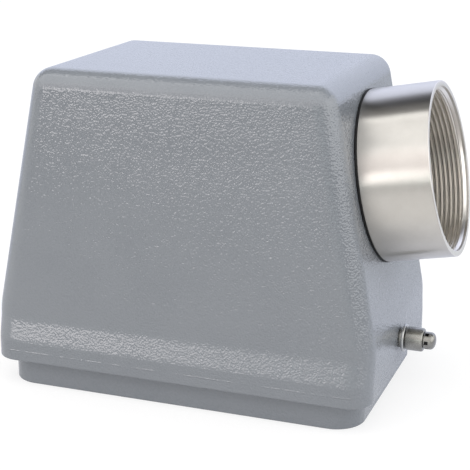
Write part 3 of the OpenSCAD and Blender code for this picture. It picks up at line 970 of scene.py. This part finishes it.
def floor_shader(tree):
    """White with the object's shadow to the camera, a glow in reflections and a plain grey to the rest."""
    path = node(tree, "ShaderNodeLightPath", {}).outputs
    lit, shaded = (
        node(tree, "ShaderNodeBsdfDiffuse", {"Color": (grey, grey, grey, 1)}).outputs[0]
        for grey in (FLOOR_LIT, FLOOR_SHADED)
    )
    white = node(tree, "ShaderNodeEmission", {"Color": (*WHITE, 1), "Strength": FLOOR_WHITE}).outputs[0]
    mirrored = added(tree, shaded, glow(tree, "Y", FLOOR_GLOW, FLOOR_FADE))
    mirrors = maths(tree, "MAXIMUM", path["Is Glossy Ray"], path["Is Transmission Ray"])
    others = mixed(tree, mirrors, lit, mirrored)
    return mixed(tree, path["Is Camera Ray"], others, added(tree, shaded, white))


def stage_piece(name, bm, mat_name, shader):
    """A piece of the set; shader(tree) gives its surface."""
    piece = new_object(name, bm)
    mat = bpy.data.materials.new(mat_name)
    mat.use_nodes = True
    tree = mat.node_tree
    tree.nodes.remove(tree.nodes["Principled BSDF"])
    feed(tree, tree.nodes["Material Output"].inputs, {"Surface": shader(tree)})
    piece.data.materials.append(mat)
    return piece


def make_floor():
    """Plain white floor that keeps the object's shadow; in reflections it dims away from the object."""
    bm = bmesh.new()
    bmesh.ops.create_circle(bm, cap_ends=True, segments=96, radius=FLOOR_R)
    stage_piece("floor", bm, "floor_white", floor_shader)


def make_panel(name, corners, axis, stops, fade=None):
    """A studio panel that only reflections show."""
    bm = bmesh.new()
    bm.faces.new([bm.verts.new(c) for c in corners])
    card = stage_piece(name, bm, name, lambda tree: glow(tree, axis, stops, fade))
    card.visible_camera = False
    card.visible_diffuse = False
    card.visible_shadow = False


def upright_y(y, z0, z1):
    """Corners of a panel across the room, facing along Y."""
    return [(LEFT_X, y, z0), (RIGHT_X, y, z0), (RIGHT_X, y, z1), (LEFT_X, y, z1)]


def upright_x(x):
    """Corners of a full side of the room, facing along X."""
    return [(x, FRONT_Y, 0), (x, BACK_Y, 0), (x, BACK_Y, CEILING_Z), (x, FRONT_Y, CEILING_Z)]


def level(x0, y0, y1, z):
    """Corners of a level panel that ends at the room's right side."""
    return [(x0, y0, z), (RIGHT_X, y0, z), (RIGHT_X, y1, z), (x0, y1, z)]


# (x, factor, x, factor) of a fade along X
FLOOR_FADE = (-0.5, 1.15, 0.0, 1.0)
SIDE_FADE = (-0.9, 1.12, -0.2, 0.96)
# (metres, brightness, tint) along an axis
FLOOR_GLOW = [
    (-3.0, 0.05, PLAIN),
    (-0.9, 0.05, PLAIN),
    (-0.45, 0.4, PLAIN),
    (-0.2, 0.65, PLAIN),
    (-0.08, 0.65, PLAIN),
    (0.05, 0.5, BLUE),
    (0.3, 0.65, BLUE),
    (0.6, 0.55, BLUE),
    (1.2, 0.45, BLUE),
    (3.0, 0.45, BLUE),
]
PANELS = [
    ("front_low", upright_y(FRONT_Y, 0, SPLIT_Z), "X", [
        (LEFT_X, 1.2, PLAIN),
        (-1.05, 1.2, PLAIN),
        (-0.8, 3.8, WARM),
        (-0.5, 3.0, WARM),
        (-0.3, 2.0, WARM),
        (-0.1, 1.5, COOL),
        (0.2, 1.4, COOL),
        (0.6, 0.85, GREEN),
        (RIGHT_X, 0.7, GREEN),
    ]),
    ("front_high", upright_y(FRONT_Y, SPLIT_Z, CEILING_Z), "Z", [
        (SPLIT_Z, 1.2, WARM),
        (0.5, 1.25, WARM),
        (0.8, 1.5, WARM),
        (CEILING_Z, 1.6, PLAIN),
    ], SIDE_FADE),
    ("ceiling", level(LEFT_X, FRONT_Y, BACK_Y, CEILING_Z), "Y", [
        (FRONT_Y, 1.4, PLAIN),
        (-0.45, 1.4, PLAIN),
        (-0.15, 1.25, PLAIN),
        (0.0, 2.25, PLAIN),
        (0.06, 0.2, PLAIN),
        (0.25, 0.25, PLAIN),
        (0.5, 0.0, PLAIN),
        (0.8, 0.1, PLAIN),
        (1.1, 1.05, BLUE),
        (BACK_Y, 1.05, BLUE),
    ], SIDE_FADE),
    ("back", upright_y(BACK_Y, 0, CEILING_Z), "Z", [
        (0.0, 0.9, BLUE),
        (0.2, 0.95, BLUE),
        (0.4, 1.0, BLUE),
        (0.7, 1.15, BLUE),
        (CEILING_Z, 1.25, BLUE),
    ]),
    ("right", upright_x(RIGHT_X), "Y", [
        (FRONT_Y, 1.8, PLAIN),
        (0.1, 1.8, PLAIN),
        (0.7, 1.25, PLAIN),
        (BACK_Y, 1.15, PLAIN),
    ]),
    ("left", upright_x(LEFT_X), "Y", [
        (FRONT_Y, 1.15, PLAIN),
        (BACK_Y, 1.15, PLAIN),
    ]),
    ("floor_right", level(0.17, -0.9, 0.12, CARD_Z), "X", [
        (0.17, 0.4, WARM),
        (RIGHT_X, 0.4, WARM),
    ]),
    ("floor_behind", level(0.05, 0.15, 1.2, CARD_Z), "Y", [
        (0.15, 0.7, PALE_BLUE),
        (0.38, 0.85, PALE_BLUE),
        (0.5, 0.6, PALE_BLUE),
        (1.2, 0.6, PALE_BLUE),
    ]),
]

PAINT = paint_material()
NICKEL = nickel_material("satin_nickel", 0.3, smear=(math.cos(TILT), 0.0, math.sin(TILT)))
# Lighter copy of the nickel: painted light for the light bouncing inside the sleeve and off its rim
NICKEL_PAINTED_LIGHT = nickel_material("thread_nickel_painted_light", 0.3, 1.4)
STEEL = steel_material("pin_steel", (0.28, 0.275, 0.255), (0.36, 0.355, 0.33), 0.2, 0.32)
ZINC = steel_material("zinc_plate", (0.50, 0.50, 0.49), (0.58, 0.58, 0.57), 0.24, 0.36)
# Near-black steel: painted shadow inside the cap's slots
SLOT_SHADOW_PAINT = steel_material("slot_painted_shadow", (0.02, 0.02, 0.02), (0.05, 0.05, 0.05), 0.4, 0.6)
SILVER = steel_material("contact_silver", (0.80, 0.76, 0.66), (0.88, 0.84, 0.74), 0.18, 0.28)
RUBBER = rubber_material()
PLASTIC = plastic_material()


def place_piece(obj, mats, body, cad_node):
    """Materials and body of a piece that stands for a CAD node, whose own object is hidden."""
    for mat in mats:
        obj.data.materials.append(mat)
    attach(obj, body)
    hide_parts(cad_node)


def dress(cad_node, mat):
    """Gives a CAD node one material, whatever it had."""
    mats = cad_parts[cad_node].data.materials
    mats.clear()
    mats.append(mat)


place_piece(make_hood(), [PAINT], "hood", "hood_shell")
place_piece(make_sleeve(), [NICKEL, NICKEL_PAINTED_LIGHT], "hood", "cable_entry_sleeve")
place_piece(make_seal(), [RUBBER], "hood", "sleeve_seal_ring")
for side, word in ((-1, "left"), (1, "right")):
    place_piece(make_pin(side, f"pin_{word}"), [STEEL], "hood", f"peg_pin_{word}")
    place_piece(make_washer(side, f"washer_{word}"), [ZINC], "hood", f"peg_washer_{word}")
    roller = f"roller_{word}"
    place_piece(make_roller(side, roller), [STEEL], roller, f"peg_roller_{word}")
    place_piece(make_cap(side, f"cap_{word}"), [STEEL, SLOT_SHADOW_PAINT], "hood", f"peg_cap_{word}")

for row in ("front", "rear"):
    dress(f"insert_body_{row}", PLASTIC)
    dress(f"contact_pins_{row}", SILVER)
    dress(f"contact_terminals_{row}", SILVER)
    dress(f"terminal_screws_{row}", ZINC)
    for word in ("left", "right"):
        dress(f"earth_plate_{row}_{word}", ZINC)
dress("earth_screws", ZINC)
dress("insert_fixing_screws", STEEL)

make_camera()
make_world()
make_floor()
for lamp in LAMPS:
    soft_lamp(*lamp)
for board in PANELS:
    make_panel(*board)

scene.view_settings.view_transform = "Standard"
